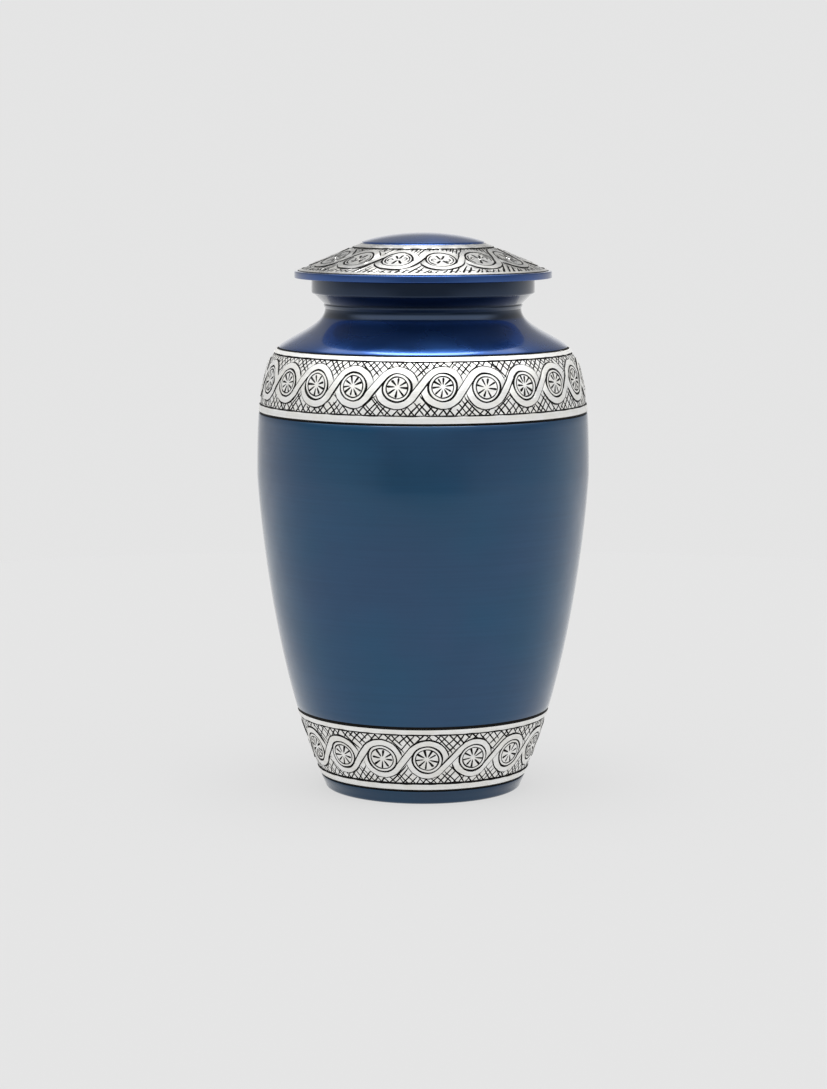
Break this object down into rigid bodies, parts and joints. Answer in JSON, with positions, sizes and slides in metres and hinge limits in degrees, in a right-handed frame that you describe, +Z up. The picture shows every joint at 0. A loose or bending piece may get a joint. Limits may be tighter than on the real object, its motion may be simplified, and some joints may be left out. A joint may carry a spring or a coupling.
{
  "type": "funeral urn",
  "caption": "Shouldered hollow metal cremation urn in blue enamel, with engraved bands of running scroll and rosettes, short neck, collar and shallow lift-off lid.",
  "frame": {"origin": "centre of the flat underside", "axes": "+Z up along the axis of revolution, the front of the urn faces -Y"},
  "size_m": [0.1662, 0.1662, 0.2794],
  "materials": {
    "blue_enamel": "glossy translucent blue enamel over brushed metal",
    "lid_enamel": "glossy translucent blue enamel over brushed metal",
    "engraved_nickel": "satin white metal with blackened hand engraving"
  },
  "bodies": {
    "root": {"urn_body": "blue_enamel", "urn_lid": "lid_enamel"}
  },
  "joints": []
}
